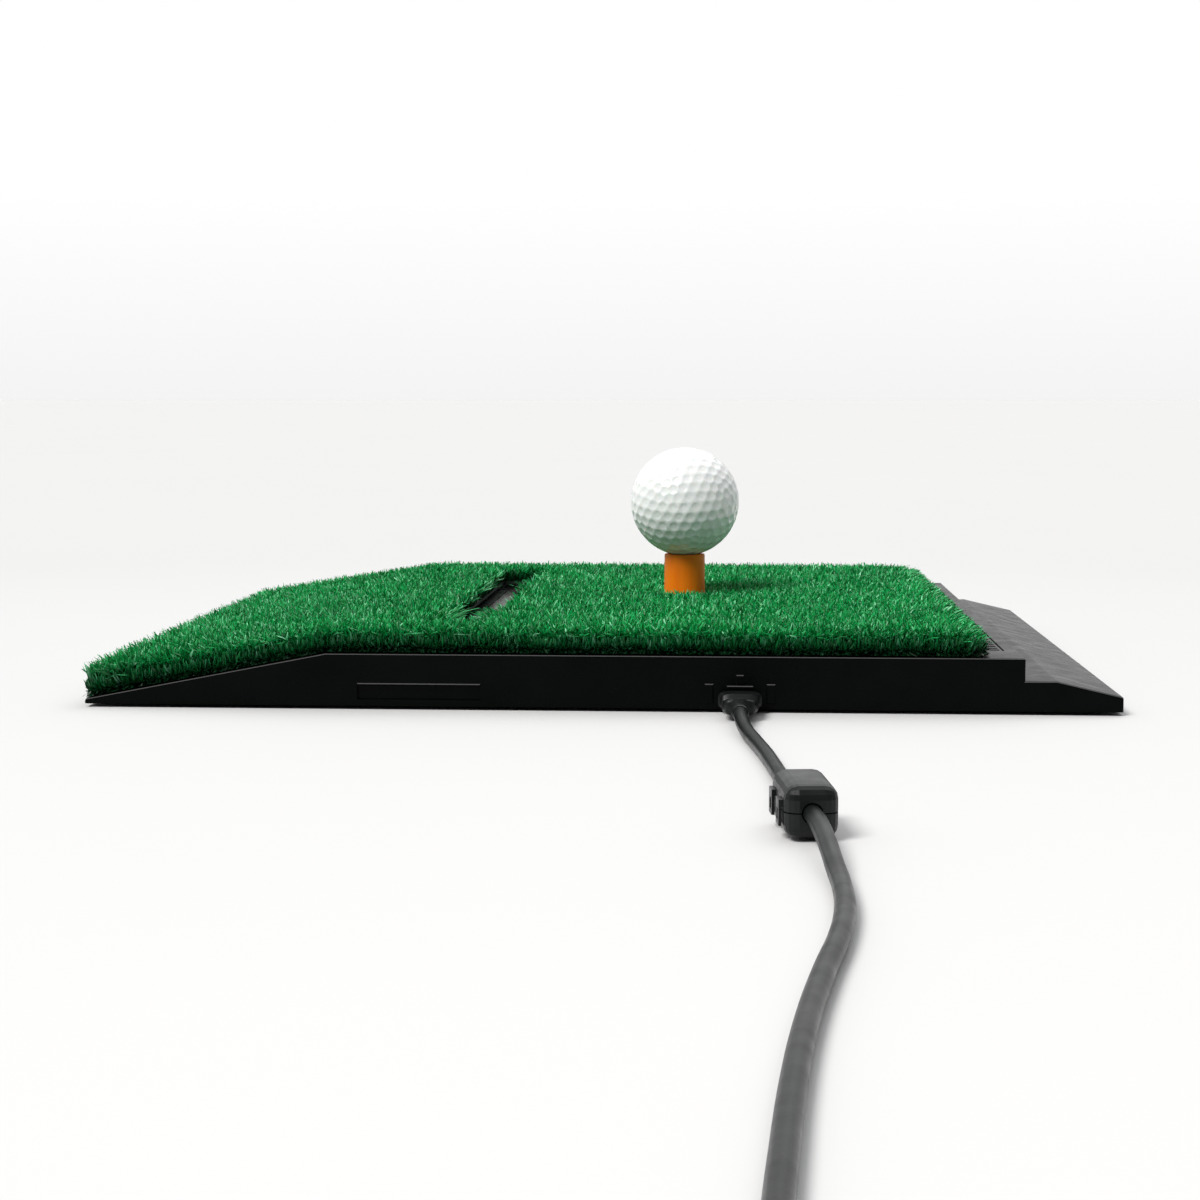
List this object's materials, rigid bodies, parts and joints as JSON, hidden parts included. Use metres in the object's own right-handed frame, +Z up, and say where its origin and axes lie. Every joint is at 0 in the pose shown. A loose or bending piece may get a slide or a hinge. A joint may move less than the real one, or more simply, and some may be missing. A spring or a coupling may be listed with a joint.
{
  "type": "golf swing-sensor hitting mat",
  "caption": "Ramped golf sensor mat with a turf top, a sensor slot, an orange rubber tee, a golf ball and a USB lead with a ferrite.",
  "frame": {"origin": "on the floor under the middle of the housing's footprint", "axes": "+X along the target line, from the turfed ramp to the bare nose; +Y away from the side that the lead leaves; +Z up"},
  "size_m": [0.345, 0.8578, 0.0837],
  "materials": {
    "housing_plastic": "satin moulded",
    "infrared_plastic": "glossy infrared-clear",
    "turf_fibre": "tufted polypropylene blades",
    "turf_latex": "matt latex backing",
    "hook_tape": "hook tape",
    "rubber_black": "matt",
    "tee_rubber": "satin orange",
    "ball_cover": "dimpled gloss",
    "circuit_board": "solder mask",
    "chip_plastic": "epoxy",
    "header_plastic": "nylon",
    "lens_clear": "clear epoxy",
    "plated_steel": "nickel plated",
    "lead_jacket": "satin vinyl",
    "ferrite_core": "sintered",
    "strap_fabric": "hook-and-loop strap"
  },
  "bodies": {
    "pad": {"base_cover": "housing_plastic", "base_screw_1": "plated_steel", "base_screw_2": "plated_steel", "base_screw_3": "plated_steel", "base_screw_4": "plated_steel", "base_screw_5": "plated_steel", "base_screw_6": "plated_steel", "board_screw_1": "plated_steel", "board_screw_2": "plated_steel", "board_screw_3": "plated_steel", "board_screw_4": "plated_steel", "board_screw_5": "plated_steel", "board_screw_6": "plated_steel", "capacitor_1": "header_plastic", "capacitor_2": "header_plastic", "controller_chip": "chip_plastic", "crystal": "plated_steel", "hook_strip_1": "hook_tape", "hook_strip_2": "hook_tape", "hook_strip_3": "hook_tape", "hook_strip_4": "hook_tape", "ir_emitter_row": "lens_clear", "ir_receiver_row": "lens_clear", "main_board": "circuit_board", "main_header": "header_plastic", "ribbon_cable": "header_plastic", "rubber_foot_1": "rubber_black", "rubber_foot_2": "rubber_black", "rubber_foot_3": "rubber_black", "rubber_foot_4": "rubber_black", "sensor_board": "circuit_board", "sensor_header": "header_plastic", "sensor_window": "infrared_plastic", "tee_socket": "rubber_black", "turf_backing": "turf_latex", "turf_pile": "turf_fibre", "upper_housing": "housing_plastic", "usb_jack_shell": "plated_steel", "usb_jack_tongue": "chip_plastic"},
    "tee": {"rubber_tee": "tee_rubber"},
    "ball": {"golf_ball": "ball_cover"},
    "usb_lead": {"mini_plug_body": "lead_jacket", "mini_plug_shell": "plated_steel", "mini_plug_relief": "lead_jacket", "usb_cable": "lead_jacket", "ferrite_lower_shell": "lead_jacket", "ferrite_lower_core": "ferrite_core", "cable_coil": "lead_jacket", "coil_tie": "strap_fabric", "cable_tail": "lead_jacket", "usb_a_relief": "lead_jacket", "usb_a_body": "lead_jacket", "usb_a_shell": "plated_steel", "usb_a_tongue": "header_plastic"},
    "ferrite_lid": {"ferrite_upper_shell": "lead_jacket", "ferrite_upper_core": "ferrite_core"}
  },
  "joints": [
    {"name": "tee_height", "type": "slide", "parent": "pad", "child": "tee", "axis": [0, 0, 1], "range_m": [0, 0.012]},
    {"name": "ball_lift", "type": "slide", "parent": "tee", "child": "ball", "axis": [0, 0, 1], "range_m": [0, 0.1]},
    {"name": "plug_pull", "type": "slide", "parent": "pad", "child": "usb_lead", "axis": [0, -1, 0], "range_m": [0, 0.012]},
    {"name": "ferrite_lid_hinge", "type": "hinge", "parent": "usb_lead", "child": "ferrite_lid", "pos_m": [0.06876, -0.33732, 0.0068], "axis": [-0.1045, 0.9945, 0], "range_deg": [0, 140]}
  ]
}
